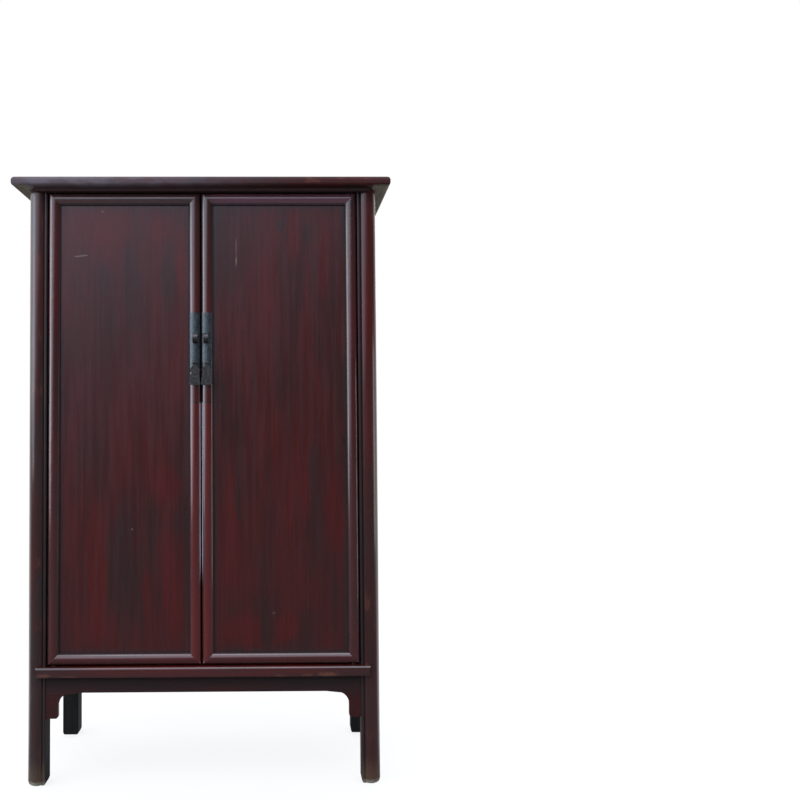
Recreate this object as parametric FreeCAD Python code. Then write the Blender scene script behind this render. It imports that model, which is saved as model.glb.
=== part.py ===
import FreeCAD, Part

import math
import os

Vector = FreeCAD.Vector

# Millimetres. X runs to the right, the front faces -Y, Z is up.
# The origin is on the floor under the middle of the cabinet.

# Whole cabinet
HEIGHT = 1788.0
FOOT_WIDTH = 1045.0
FOOT_DEPTH = 460.0
SIDE_LEAN = 8.0
FRONT_LEAN = 5.0

# Clearances
PLAY = 0.2
RUNNING_PLAY = 0.3
OVERRUN = 5.0

# Cap: a mitred frame round a panel
CAP_THICK = 28.0
CAP_OVERHANG = 39.0
CAP_FRAME = 100.0
CAP_TOP_ROUND = 12.0
CAP_LOW_ROUND = 9.0
CAP_PANEL_THICK = 12.0
CAP_TONGUE = 8.0
CAP_TONGUE_THICK = 6.0

# Posts: round outer faces with a quirk and a bead along the inner edges
POST = 56.0
BEAD_WIDTH = 8.0
BEAD_RISE = 1.2
BEAD_SET = 3.5
QUIRK_WIDTH = 2.5
QUIRK_DEPTH = 3.2
POST_ROUND = 29.0
FOOT_WEAR_STEPS = ((0.0, 6.0), (3.0, 2.2), (10.0, 0.0))
POST_TENON = 24.0
POST_TENON_LENGTH = 20.0

# Lip rail, let into the underside of the cap above the doors
LIP_DROP = 8.5
LIP_HOUSING = 8.0
LIP_PROUD = 14.0
LIP_LAP_INSET = 21.0
LEDGE_LAP_INSET = 28.0
LAP_DEPTH = 7.5
LAP_HOLLOW = 4.0

# Base rails and floor
BASE_TOP = 350.0
BASE_HEIGHT = 31.0
BASE_PROUD = 11.0
BASE_ROUND = 7.0
BASE_LOW_ROUND = 5.0
BASE_INSET = 5.0
RAIL_EASE = 3.0
TENON_LENGTH = 20.0
TENON_THICK = 12.0
TENON_HEIGHT = 18.0
TENON_SET = 20.0
FLOOR_THICK = 10.0
FLOOR_DROP = 6.0
FLOOR_TONGUE = 8.0

# Aprons and spandrels below the base rails
APRON_HEIGHT = 47.0
APRON_THICK = 16.0
APRON_INSET = 6.0
SPANDREL_DROP = 76.0
SPANDREL_WIDTH = 36.0
SPANDREL_REACH = 104.0
SPANDREL_CORNER = 8.0
SPANDREL_STRAIGHT = 39.0
SPANDREL_BEND = (42.5, 17.5)
SPANDREL_TURN = (58.0, 4.8)

# Side and back panels with their battens
PANEL_INSET = 14.0
PANEL_THICK = 9.0
PANEL_TONGUE = 8.0
MUNTIN_WIDTH = 60.0
BATTEN_HEIGHT = 26.0
BATTEN_THICK = 13.0
FLOOR_BATTEN_SHARES = (-0.25, 0.25)

# Shelves on bearers
SHELF_TOPS = (900.0, 1330.0)
SHELF_THICK = 16.0
SHELF_GAP = 1.5
BEARER_WIDTH = 22.0
BEARER_HEIGHT = 28.0

# Doors
DOOR_SETBACK = 1.0
DOOR_THICK = 30.0
DOOR_FRAME = 34.0
ROLL_RISE = 8.0
FILLET_WIDTH = 2.5
MITRE_DEPTH = 9.5
DOOR_TOP_GAP = 3.5
DOOR_BOTTOM_GAP = 3.5
HINGE_GAP = 3.5
MEETING_GAP = 4.5
MEETING_OFFSET = -6.0
DOOR_PANEL_RECESS = 5.0
DOOR_PANEL_THICK = 8.0
DOOR_TONGUE = 7.0
DOOR_TENON_THICK = 8.0
DOOR_TENON_DEPTH = 12.0
DOOR_TENON_HEIGHT = 20.0
DOOR_TENON_EDGE = 5.0
DOOR_TENON_LENGTH = 26.0
DOOR_BATTEN_HEIGHT = 28.0
DOOR_BATTEN_SHARES = (0.14, 0.50, 0.86)

# Door pivots, turned on the ends of the hinge stiles
PIVOT_DEPTH = 17.0
PIN_RADIUS = 7.0
PIN_ROOT = 2.0
BOTTOM_PIN_BITE = 8.0
SOCKET_ROOM = 4.0

# Face plates
PLATE_DROP = 354.5
PLATE_HEIGHT = 162.0
PLATE_WIDTH = 30.0
PLATE_THICK = 1.2
NAIL_RADIUS = 1.0
NAIL_LENGTH = 12.0
NAIL_HEAD_RADIUS = 2.4
NAIL_HEAD_RISE = 1.2
NAIL_DROP = 8.0
NAIL_RISE = 50.0

# Lock staples
LOCK_DROP = 76.0
LOCK_SHIFT = 2.0
LOCK_RADIUS = 15.0
LOCK_STRAP = 2.6
LOCK_WIDTH = 14.0
LOCK_TAIL = 11.0
LOCK_TAIL_THICK = 1.6

# Pull staples and pulls
PULL_RISE = 13.0
PULL_STANDOFF = 7.0
PULL_WIRE = 1.3
PULL_STAPLE_SPAN = 12.0
PULL_TAIL = 8.0
CURL_WIDTH = 8.6
CURL_WALL = 1.6
PULL_THICK = 1.8
PULL_LENGTH = 66.0
PULL_HALF_WIDTH = 17.0
PULL_NECK_SHARES = (0.25, 0.03)
PULL_ROOF_SHARES = (0.44, 0.17)
PULL_TIP_SHARES = (0.94, 0.29)
PULL_TIP_LOW_SHARES = (0.97, 0.325)
PULL_NOTCH_SHARES = (0.80, 0.37)
PULL_WAIST_SHARES = (0.80, 0.45)
PULL_FOOT_SHARES = (1.0, 0.95)
PULL_CORNER_SHARES = (0.94, 0.985)

# Sizes that follow from those above
POST_HEIGHT = HEIGHT - CAP_THICK
SIDE_SLOPE = SIDE_LEAN / POST_HEIGHT
FRONT_SLOPE = FRONT_LEAN / POST_HEIGHT
CAP_HALF_WIDTH = FOOT_WIDTH / 2 - SIDE_LEAN + CAP_OVERHANG
CAP_HALF_DEPTH = FOOT_DEPTH / 2 - FRONT_LEAN + CAP_OVERHANG
BASE_BOTTOM = BASE_TOP - BASE_HEIGHT
APRON_BOTTOM = BASE_BOTTOM - APRON_HEIGHT
LIP_BOTTOM = POST_HEIGHT - LIP_DROP
DOOR_TOP = LIP_BOTTOM - DOOR_TOP_GAP
DOOR_BOTTOM = BASE_TOP + DOOR_BOTTOM_GAP
DOOR_FACE = DOOR_SETBACK - FOOT_DEPTH / 2
ROLL_WIDTH = DOOR_FRAME - FILLET_WIDTH
ROLL_RADIUS = (ROLL_WIDTH ** 2 / 4 + ROLL_RISE ** 2) / (2 * ROLL_RISE)
PIVOT_INSET = DOOR_FRAME / 2
PANEL_LOW = BASE_TOP - PANEL_TONGUE
PANEL_HIGH = POST_HEIGHT + PANEL_TONGUE
PLATE_TOP = DOOR_TOP - PLATE_DROP
PLATE_BOTTOM = PLATE_TOP - PLATE_HEIGHT
NAIL_HEIGHTS = (PLATE_TOP - NAIL_DROP, PLATE_BOTTOM + NAIL_RISE)
LOCK_HEIGHT = PLATE_TOP - LOCK_DROP
PULL_HEIGHT = PLATE_BOTTOM + PULL_RISE


def side(inset):
    """Right-hand plane that leans in with the posts, this far in from their outer faces."""
    return lambda z: FOOT_WIDTH / 2 - inset - SIDE_SLOPE * z


def left(inset):
    return lambda z: -side(inset)(z)


def back(inset):
    """Rear plane that leans in with the posts, this far in from their outer faces."""
    return lambda z: FOOT_DEPTH / 2 - inset - FRONT_SLOPE * z


def front(inset):
    return lambda z: -back(inset)(z)


def at(value, z):
    return value(z) if callable(value) else value


def flat(points):
    return Part.Face(Part.makePolygon(points + points[:1]))


def box(x_low, x_high, y_low, y_high, z_low, z_high):
    corner = Vector(x_low, y_low, z_low)
    return Part.makeBox(x_high - x_low, y_high - y_low, z_high - z_low, corner)


def board_x(x_face, thick, y_low, y_high, z_low, z_high):
    """Board that stands in a plane across X, thickened along +X; its edges may lean."""
    corners = ((y_low, z_low), (y_high, z_low), (y_high, z_high), (y_low, z_high))
    points = [Vector(at(x_face, z), at(y, z), z) for y, z in corners]
    return flat(points).extrude(Vector(thick, 0, 0))


def board_y(y_face, thick, x_low, x_high, z_low, z_high):
    """Board that stands in a plane across Y, thickened along +Y; its edges may lean."""
    corners = ((x_low, z_low), (x_high, z_low), (x_high, z_high), (x_low, z_high))
    points = [Vector(at(x, z), at(y_face, z), z) for x, z in corners]
    return flat(points).extrude(Vector(0, thick, 0))


def outline(place, start, steps):
    """Face round a path of straight steps (end) and arcs (middle, end)."""
    edges = []
    here = start
    for step in steps:
        if isinstance(step[0], tuple):
            middle, end = step
            edges.append(Part.Arc(place(*here), place(*middle), place(*end)).toShape())
        else:
            end = step
            edges.append(Part.LineSegment(place(*here), place(*end)).toShape())
        here = end
    return Part.Face(Part.Wire(edges))


def mirror_x(shape):
    return shape.mirror(Vector(0, 0, 0), Vector(1, 0, 0))


def mirror_y(shape):
    return shape.mirror(Vector(0, 0, 0), Vector(0, 1, 0))


def joined(shapes):
    return shapes[0].multiFuse(shapes[1:]).removeSplitter()


def cut_by(shape, tools):
    return shape.cut(Part.Compound(tools)).removeSplitter()


def on_front_plane(shape):
    """Tips an upright shape back so that it lies in the leaning front plane."""
    tipped = shape.copy()
    angle = -math.degrees(math.atan(FRONT_SLOPE))
    tipped.rotate(Vector(0, -FOOT_DEPTH / 2, 0), Vector(1, 0, 0), angle)
    return tipped


# Posts

def post_section(place):
    """Section of a post, measured inwards from its two outer faces."""
    bead_edge = POST - BEAD_WIDTH
    quirk_edge = bead_edge - QUIRK_WIDTH
    bead_foot = BEAD_SET + BEAD_RISE
    quirk_foot = BEAD_SET + QUIRK_DEPTH
    round_edge = POST_ROUND - math.sqrt(POST_ROUND ** 2 - (quirk_edge - POST_ROUND) ** 2)
    corner = POST_ROUND * (1 - math.sqrt(0.5))
    bead_middle = POST - BEAD_WIDTH / 2
    steps = [
        ((bead_middle, BEAD_SET), (bead_edge, bead_foot)),
        (bead_edge, quirk_foot),
        (quirk_edge, quirk_foot),
        (quirk_edge, round_edge),
        ((corner, corner), (round_edge, quirk_edge)),
        (quirk_foot, quirk_edge),
        (quirk_foot, bead_edge),
        (bead_foot, bead_edge),
        ((BEAD_SET, bead_middle), (bead_foot, POST)),
        (POST, POST),
        (POST, bead_foot),
    ]
    return outline(place, (POST, bead_foot), steps)


def post_blank():
    """Back right post: worn foot, leaning shaft and top tenon."""
    def ring(z, inset):
        shrink = 1 - 2 * inset / POST

        def place(a, b):
            x = side(0)(z) - inset - a * shrink
            y = back(0)(z) - inset - b * shrink
            return Vector(x, y, z)
        return post_section(place)

    foot = Part.makeLoft([ring(z, inset).OuterWire for z, inset in FOOT_WEAR_STEPS], True, True)
    foot_top = FOOT_WEAR_STEPS[-1][0]
    rise = POST_HEIGHT - foot_top
    shaft = ring(foot_top, 0).extrude(Vector(-SIDE_SLOPE * rise, -FRONT_SLOPE * rise, rise))
    return joined([foot, shaft, post_tenon(0)])


def post_tenon(play):
    """Square tenon on the back right post, or the mortise for it."""
    x = side(POST / 2)(POST_HEIGHT)
    y = back(POST / 2)(POST_HEIGHT)
    half = POST_TENON / 2 + play
    top = POST_HEIGHT + POST_TENON_LENGTH + play
    return box(x - half, x + half, y - half, y + half, POST_HEIGHT - OVERRUN, top)


def all_corners(shape):
    return [shape, mirror_x(shape), mirror_y(shape), mirror_x(mirror_y(shape))]


def side_panel_groove():
    """Space for the right side panel in the posts, base rail and cap."""
    thick = PANEL_THICK + 2 * PLAY
    reach = POST - PANEL_TONGUE - PLAY
    low = PANEL_LOW - PLAY
    high = PANEL_HIGH + PLAY
    return board_x(side(PANEL_INSET + PANEL_THICK + PLAY), thick, front(reach), back(reach), low, high)


def back_panel_groove():
    """Space for the back panels in the posts, base rail and cap."""
    thick = PANEL_THICK + 2 * PLAY
    reach = POST - PANEL_TONGUE - PLAY
    low = PANEL_LOW - PLAY
    high = PANEL_HIGH + PLAY
    return board_y(back(PANEL_INSET + PANEL_THICK + PLAY), thick, left(reach), side(reach), low, high)


def posts():
    """The four posts, bored for the rails and grooved for the panels."""
    blank = post_blank()
    tools = [
        side_panel_groove(), mirror_x(side_panel_groove()), back_panel_groove(),
        front_rail_tenons(PLAY), back_rail_tenons(PLAY), side_rail_tenons(PLAY),
        mirror_x(side_rail_tenons(PLAY)),
    ]
    names = ("post_back_right", "post_back_left", "post_front_right", "post_front_left")
    return {name: cut_by(shape, tools) for name, shape in zip(names, all_corners(blank))}


# Base rails and floor

def tenon_pair_x(y_middle, play):
    """Tenons on both ends of a rail that runs along X."""
    z = (BASE_TOP + BASE_BOTTOM) / 2
    half_y = TENON_THICK / 2 + play
    half_z = TENON_HEIGHT / 2 + play
    reach = side(POST - TENON_LENGTH)(z) + play
    return box(-reach, reach, y_middle - half_y, y_middle + half_y, z - half_z, z + half_z)


def front_rail_tenons(play):
    return tenon_pair_x(front(TENON_SET + TENON_THICK / 2)(BASE_TOP), play)


def back_rail_tenons(play):
    return tenon_pair_x(back(TENON_SET + TENON_THICK / 2)(BASE_TOP), play)


def side_rail_tenons(play):
    """Tenons on both ends of the right base rail."""
    z = (BASE_TOP + BASE_BOTTOM) / 2
    x = side(TENON_SET + TENON_THICK / 2)(z)
    half_x = TENON_THICK / 2 + play
    half_z = TENON_HEIGHT / 2 + play
    reach = back(POST - TENON_LENGTH)(z) + play
    return box(x - half_x, x + half_x, -reach, reach, z - half_z, z + half_z)


def lapped_end(z_low, z_high):
    """Hollow cut at the right end of a rail that laps over a post."""
    tip = side(LEDGE_LAP_INSET)(z_low)
    middle = (z_low + z_high) / 2
    far = tip + LAP_HOLLOW + OVERRUN

    def place(x, z):
        return Vector(x, front(-BASE_PROUD - OVERRUN)(z_low), z)
    steps = [((tip - LAP_HOLLOW, middle), (tip, z_high)), (far, z_high), (far, z_low), (tip, z_low)]
    return outline(place, (tip, z_low), steps).extrude(Vector(0, POST, 0))


def lap(proud, z_low, z_high):
    """Strip in front of the posts, deeper than their quirk."""
    reach = side(LEDGE_LAP_INSET)(z_low)
    y = front(0)(z_low)
    return box(-reach, reach, y - proud, y + LAP_DEPTH, z_low, z_high)


def base_rail_front(post_shapes):
    """Ledge under the doors; its face stands out and laps over the posts."""
    face = front(-BASE_PROUD)(BASE_BOTTOM)
    body = board_y(face, BASE_PROUD + POST, left(POST), side(POST), BASE_BOTTOM, BASE_TOP)
    shaper = eased_bar(face, FOOT_WIDTH / 2, BASE_BOTTOM, BASE_TOP, BASE_LOW_ROUND, BASE_ROUND)
    bar = joined([body, lap(BASE_PROUD, BASE_BOTTOM, BASE_TOP)]).common(shaper)
    end = lapped_end(BASE_BOTTOM, BASE_TOP)
    tools = post_shapes + [end, mirror_x(end), floor_groove(), bottom_bore(), mirror_x(bottom_bore())]
    return cut_by(joined([bar, front_rail_tenons(0)]), tools)


def eased_bar(face, half_length, z_low, z_high, low_round, top_round):
    """Long bar whose front edges are rounded, to shape the face of a rail."""
    def place(y, z):
        return Vector(-half_length, y, z)
    low_middle = low_round * (1 - math.sqrt(0.5))
    top_middle = top_round * (1 - math.sqrt(0.5))
    rear = face + 2 * POST
    steps = [
        ((face + low_middle, z_low + low_middle), (face, z_low + low_round)),
        (face, z_high - top_round),
        ((face + top_middle, z_high - top_middle), (face + top_round, z_high)),
        (rear, z_high),
        (rear, z_low),
        (face + low_round, z_low),
    ]
    return outline(place, (face + low_round, z_low), steps).extrude(Vector(2 * half_length, 0, 0))


def base_rail_back():
    face = back(BASE_INSET)(BASE_BOTTOM)
    depth = POST - BASE_INSET
    body = board_y(face - depth, depth, left(POST), side(POST), BASE_BOTTOM, BASE_TOP)
    shaper = mirror_y(eased_bar(-face, FOOT_WIDTH / 2, BASE_BOTTOM, BASE_TOP, RAIL_EASE, RAIL_EASE))
    rail = joined([body.common(shaper), back_rail_tenons(0)])
    return cut_by(rail, [floor_groove(), back_panel_groove()])


def base_rail_right():
    face = side(BASE_INSET)(BASE_BOTTOM)
    depth = POST - BASE_INSET
    body = board_x(face - depth, depth, front(POST), back(POST), BASE_BOTTOM, BASE_TOP)
    shaper = eased_bar(-face, FOOT_DEPTH / 2, BASE_BOTTOM, BASE_TOP, RAIL_EASE, RAIL_EASE)
    shaper.rotate(Vector(0, 0, 0), Vector(0, 0, 1), 90)
    rail = joined([body.common(shaper), side_rail_tenons(0)])
    return cut_by(rail, [floor_groove(), side_panel_groove()])


def floor_plan(tongue, notch, z_low, z_high):
    """Floor between the base rails, kept this far from the posts by a notch."""
    x = side(POST)(BASE_BOTTOM)
    y = back(POST)(BASE_BOTTOM)
    wide = box(-x - tongue, x + tongue, notch - y, y - notch, z_low, z_high)
    deep = box(notch - x, x - notch, -y - tongue, y + tongue, z_low, z_high)
    return joined([wide, deep])


def floor_groove():
    top = BASE_TOP - FLOOR_DROP
    return floor_plan(FLOOR_TONGUE, 0, top - FLOOR_THICK - PLAY, top + PLAY)


def floor_panel():
    top = BASE_TOP - FLOOR_DROP
    return floor_plan(FLOOR_TONGUE - RUNNING_PLAY, RUNNING_PLAY, top - FLOOR_THICK, top)


def floor_battens():
    """Two battens under the floor, from the front rail to the back rail."""
    top = BASE_TOP - FLOOR_DROP - FLOOR_THICK
    low = BASE_BOTTOM
    y_low = front(POST)(BASE_BOTTOM)
    y_high = back(POST)(BASE_BOTTOM)
    bars = []
    for share in FLOOR_BATTEN_SHARES:
        x = share * FOOT_WIDTH
        bars.append(box(x - BATTEN_HEIGHT / 2, x + BATTEN_HEIGHT / 2, y_low, y_high, low, top))
    return Part.Compound(bars)


# Aprons and spandrels

def apron_front():
    face = front(APRON_INSET)(APRON_BOTTOM)
    return board_y(face, APRON_THICK, left(POST), side(POST), APRON_BOTTOM, BASE_BOTTOM)


def apron_right():
    face = side(APRON_INSET + APRON_THICK)(APRON_BOTTOM)
    return board_x(face, APRON_THICK, front(POST), back(POST), APRON_BOTTOM, BASE_BOTTOM)


def spandrel(place, edge):
    """Bracket below an apron, measured inwards from a post and down from the apron."""
    bottom = -SPANDREL_DROP
    turn_x, turn_z = SPANDREL_TURN
    bend_x, bend_z = SPANDREL_BEND
    corner = SPANDREL_CORNER * (1 - math.sqrt(0.5))
    steps = [
        (SPANDREL_REACH, 0),
        (turn_x, -turn_z),
        ((bend_x, -bend_z), (SPANDREL_WIDTH, -SPANDREL_STRAIGHT)),
        (SPANDREL_WIDTH, bottom + SPANDREL_CORNER),
        ((SPANDREL_WIDTH - corner, bottom + corner), (SPANDREL_WIDTH - SPANDREL_CORNER, bottom)),
        (edge, bottom),
        (0, 0),
    ]
    return outline(place, (0, 0), steps)


def spandrels_front():
    x = side(POST)(APRON_BOTTOM)
    y = front(APRON_INSET)(APRON_BOTTOM)
    edge = -SIDE_SLOPE * SPANDREL_DROP

    def place(inward, up):
        return Vector(x - inward, y, APRON_BOTTOM + up)
    right = spandrel(place, edge).extrude(Vector(0, APRON_THICK, 0))
    return Part.Compound([right, mirror_x(right)])


def spandrels_right():
    x = side(APRON_INSET + APRON_THICK)(APRON_BOTTOM)
    y = back(POST)(APRON_BOTTOM)
    edge = -FRONT_SLOPE * SPANDREL_DROP

    def place(inward, up):
        return Vector(x, y - inward, APRON_BOTTOM + up)
    rear = spandrel(place, edge).extrude(Vector(APRON_THICK, 0, 0))
    return Part.Compound([rear, mirror_y(rear)])


# Cap

def cap_member(reach, run):
    """One side of the cap frame: outer edge at -reach in Y, mitred at both ends of its run."""
    def place(y, z):
        return Vector(-run, y, z)
    outer = -reach
    inner = CAP_FRAME - reach
    groove_top = HEIGHT - CAP_PANEL_THICK + CAP_TONGUE_THICK + PLAY
    groove_low = HEIGHT - CAP_PANEL_THICK - PLAY
    low_middle = CAP_LOW_ROUND * (1 - math.sqrt(0.5))
    top_middle = CAP_TOP_ROUND * (1 - math.sqrt(0.5))
    steps = [
        ((outer + low_middle, POST_HEIGHT + low_middle), (outer, POST_HEIGHT + CAP_LOW_ROUND)),
        (outer, HEIGHT - CAP_TOP_ROUND),
        ((outer + top_middle, HEIGHT - top_middle), (outer + CAP_TOP_ROUND, HEIGHT)),
        (inner, HEIGHT),
        (inner, groove_top),
        (inner - CAP_TONGUE - PLAY, groove_top),
        (inner - CAP_TONGUE - PLAY, groove_low),
        (inner, groove_low),
        (inner, POST_HEIGHT),
        (outer + CAP_LOW_ROUND, POST_HEIGHT),
    ]
    bar = outline(place, (outer + CAP_LOW_ROUND, POST_HEIGHT), steps).extrude(Vector(2 * run, 0, 0))
    low = POST_HEIGHT - OVERRUN
    plan = [
        Vector(-run, outer, low), Vector(run, outer, low),
        Vector(run - CAP_FRAME, inner, low), Vector(CAP_FRAME - run, inner, low),
    ]
    return bar.common(flat(plan).extrude(Vector(0, 0, CAP_THICK + 2 * OVERRUN)))


def cap_frame():
    """Four mitred rails with their mortises, bores, lip housing and panel grooves."""
    long_rail = cap_member(CAP_HALF_DEPTH, CAP_HALF_WIDTH)
    short_rail = cap_member(CAP_HALF_WIDTH, CAP_HALF_DEPTH)
    quarter = short_rail.copy()
    quarter.rotate(Vector(0, 0, 0), Vector(0, 0, 1), 90)
    shapes = {
        "cap_front_rail": long_rail,
        "cap_back_rail": mirror_y(long_rail),
        "cap_right_rail": quarter,
        "cap_left_rail": mirror_x(quarter),
    }
    tools = all_corners(post_tenon(PLAY)) + [
        side_panel_groove(), mirror_x(side_panel_groove()), back_panel_groove(),
        lip_blank(0), top_bore(), mirror_x(top_bore()),
    ]
    return {name: cut_by(shape, tools) for name, shape in shapes.items()}


def cap_panel():
    """Panel flush with the top of the frame, tongued into its groove."""
    x = CAP_HALF_WIDTH - CAP_FRAME - PLAY
    y = CAP_HALF_DEPTH - CAP_FRAME - PLAY
    low = HEIGHT - CAP_PANEL_THICK
    board = box(-x, x, -y, y, low, HEIGHT)
    tongue = CAP_TONGUE
    rim = box(-x - tongue, x + tongue, -y - tongue, y + tongue, low, low + CAP_TONGUE_THICK)
    return joined([board, rim])


def cap_battens():
    """Two battens under the cap panel, between the front and back rails."""
    top = HEIGHT - CAP_PANEL_THICK
    y = CAP_HALF_DEPTH - CAP_FRAME
    bars = []
    for share in FLOOR_BATTEN_SHARES:
        x = share * FOOT_WIDTH
        bars.append(box(x - BATTEN_HEIGHT / 2, x + BATTEN_HEIGHT / 2, -y, y, top - BATTEN_THICK, top))
    return Part.Compound(bars)


def lip_blank(drop):
    """Lip rail above the doors; its top is let into the cap and its ends lap the posts."""
    y = front(0)(POST_HEIGHT)
    low = POST_HEIGHT - drop
    high = POST_HEIGHT + LIP_HOUSING
    reach = side(POST)(POST_HEIGHT)
    lap_reach = side(LIP_LAP_INSET)(POST_HEIGHT)
    body = box(-reach, reach, y - LIP_PROUD, y + POST, low, high)
    strip = box(-lap_reach, lap_reach, y - LIP_PROUD, y + LAP_DEPTH, low, high)
    return joined([body, strip])


def lip_rail(post_shapes):
    return cut_by(lip_blank(LIP_DROP), post_shapes + [top_bore(), mirror_x(top_bore())])


# Side and back panels

def side_panel():
    reach = POST - PANEL_TONGUE
    face = side(PANEL_INSET + PANEL_THICK)
    return board_x(face, PANEL_THICK, front(reach), back(reach), PANEL_LOW, PANEL_HIGH)


def batten_heights():
    """Lower edge of a batten at the middle of each compartment."""
    floors = (BASE_TOP,) + SHELF_TOPS
    ceilings = tuple(top - SHELF_THICK for top in SHELF_TOPS) + (POST_HEIGHT,)
    return [(low + high - BATTEN_HEIGHT) / 2 for low, high in zip(floors, ceilings)]


def side_battens():
    """Battens across the inside of the right side panel, from post to post."""
    bars = []
    for z in batten_heights():
        face = side(PANEL_INSET + PANEL_THICK + BATTEN_THICK)
        bars.append(board_x(face, BATTEN_THICK, front(POST), back(POST), z, z + BATTEN_HEIGHT))
    return Part.Compound(bars)


def back_panel_right():
    reach = POST - PANEL_TONGUE
    inner = MUNTIN_WIDTH / 2 - PANEL_TONGUE
    face = back(PANEL_INSET + PANEL_THICK)
    return board_y(face, PANEL_THICK, inner, side(reach), PANEL_LOW, PANEL_HIGH)


def back_muntin():
    """Upright between the two back panels, grooved on both edges."""
    thick = PANEL_INSET - BASE_INSET + PANEL_THICK + BATTEN_THICK
    half = MUNTIN_WIDTH / 2
    upright = board_y(back(BASE_INSET + thick), thick, -half, half, BASE_TOP, POST_HEIGHT)
    inner = half - PANEL_TONGUE - PLAY
    groove_face = back(PANEL_INSET + PANEL_THICK + PLAY)
    groove_width = PANEL_THICK + 2 * PLAY
    groove = board_y(groove_face, groove_width, inner, half + OVERRUN, BASE_TOP, POST_HEIGHT)
    return cut_by(upright, [groove, mirror_x(groove)])


def back_battens():
    """Battens across the inside of both back panels, from post to muntin."""
    bars = []
    for z in batten_heights():
        face = back(PANEL_INSET + PANEL_THICK + BATTEN_THICK)
        bar = board_y(face, BATTEN_THICK, MUNTIN_WIDTH / 2, side(POST), z, z + BATTEN_HEIGHT)
        bars += [bar, mirror_x(bar)]
    return Part.Compound(bars)


# Shelves

def shelf(top):
    """Shelf notched round the back posts and the muntin."""
    low = top - SHELF_THICK
    x_wide = side(PANEL_INSET + PANEL_THICK + SHELF_GAP)(top)
    x_deep = side(POST + SHELF_GAP)(top)
    y_front = front(POST + SHELF_GAP)(low)
    y_wide = back(POST + SHELF_GAP)(top)
    y_deep = back(PANEL_INSET + PANEL_THICK + SHELF_GAP)(top)
    wide = box(-x_wide, x_wide, y_front, y_wide, low, top)
    deep = box(-x_deep, x_deep, y_front, y_deep, low, top)
    half = MUNTIN_WIDTH / 2 + SHELF_GAP
    y_notch = back(PANEL_INSET + PANEL_THICK + BATTEN_THICK + SHELF_GAP)(top)
    notch = box(-half, half, y_notch, y_deep + OVERRUN, low - OVERRUN, top + OVERRUN)
    return cut_by(joined([wide, deep]), [notch])


def shelf_bearers(top):
    """Bearers under both ends of a shelf, from post to post."""
    high = top - SHELF_THICK
    face = side(PANEL_INSET + PANEL_THICK + BEARER_WIDTH)
    bar = board_x(face, BEARER_WIDTH, front(POST), back(POST), high - BEARER_HEIGHT, high)
    return Part.Compound([bar, mirror_x(bar)])


# Doors. Each is drawn upright as the left-hand door and tipped on to the front plane;
# the right-hand door is its mirror image with its own meeting edge.

def hinge_edge(z):
    """Outer edge of the left door in X, which follows the post."""
    return left(POST)(z) + HINGE_GAP


def meeting_edge(hand):
    """Free edge of a door; hand is 1 for the left door and -1 for the mirrored right door."""
    return hand * MEETING_OFFSET - MEETING_GAP / 2


def frame_section(place, round_back):
    """Section of a door stile or rail: distance from its outer edge, depth from its crown."""
    groove_front = ROLL_RISE + DOOR_PANEL_RECESS - PLAY
    groove_back = ROLL_RISE + DOOR_PANEL_RECESS + DOOR_PANEL_THICK + PLAY
    groove_floor = DOOR_FRAME - DOOR_TONGUE
    steps = [
        ((ROLL_WIDTH / 2, 0), (ROLL_WIDTH, ROLL_RISE)),
        (DOOR_FRAME, ROLL_RISE),
        (DOOR_FRAME, groove_front),
        (groove_floor, groove_front),
        (groove_floor, groove_back),
        (DOOR_FRAME, groove_back),
        (DOOR_FRAME, DOOR_THICK),
    ]
    if round_back:
        rear = DOOR_THICK - PIVOT_DEPTH
        arc_end = PIVOT_INSET - math.sqrt(PIVOT_INSET ** 2 - rear ** 2)
        slant = math.asin(rear / PIVOT_INSET) / 2
        middle = (PIVOT_INSET * (1 - math.cos(slant)), PIVOT_DEPTH + PIVOT_INSET * math.sin(slant))
        steps += [(arc_end, DOOR_THICK), (middle, (0, PIVOT_DEPTH)), (0, ROLL_RISE)]
    else:
        steps += [(0, DOOR_THICK), (0, ROLL_RISE)]
    return outline(place, (0, ROLL_RISE), steps)


def door_corners(hand, inset):
    """Corners of the door outline, moved in by inset: hinge low, hinge high, free high, free low."""
    low = DOOR_BOTTOM + inset
    high = DOOR_TOP - inset
    free = meeting_edge(hand) - inset
    return [(hinge_edge(low) + inset, low), (hinge_edge(high) + inset, high), (free, high), (free, low)]


def front_prism(points, depth_low, depth_high):
    """Solid behind a door outline drawn in X and Z, between two depths from the crown."""
    base = [Vector(x, DOOR_FACE + depth_low, z) for x, z in points]
    return flat(base).extrude(Vector(0, depth_high - depth_low, 0))


def mitred(hand, index):
    """Front part of a frame member, mitred to its neighbours."""
    outer = door_corners(hand, 0)
    inner = door_corners(hand, DOOR_FRAME)
    following = (index + 1) % 4
    points = [outer[index], outer[following], inner[following], inner[index]]
    return front_prism(points, -OVERRUN, MITRE_DEPTH)


def stile_body(hand, hinge_side):
    """Rear part of a stile, which runs the full height of the door."""
    outer = door_corners(hand, 0)
    if hinge_side:
        inner = [(hinge_edge(z) + DOOR_FRAME, z) for z in (DOOR_TOP, DOOR_BOTTOM)]
        points = outer[:2] + inner
    else:
        free = meeting_edge(hand) - DOOR_FRAME
        points = outer[2:] + [(free, DOOR_BOTTOM), (free, DOOR_TOP)]
    return front_prism(points, MITRE_DEPTH, DOOR_THICK + OVERRUN)


def rail_body(hand, z_low, z_high):
    """Rear part of a rail, which stops at the stiles."""
    free = meeting_edge(hand) - DOOR_FRAME
    points = [
        (hinge_edge(z_low) + DOOR_FRAME, z_low), (hinge_edge(z_high) + DOOR_FRAME, z_high),
        (free, z_high), (free, z_low),
    ]
    return front_prism(points, MITRE_DEPTH, DOOR_THICK + OVERRUN)


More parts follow.
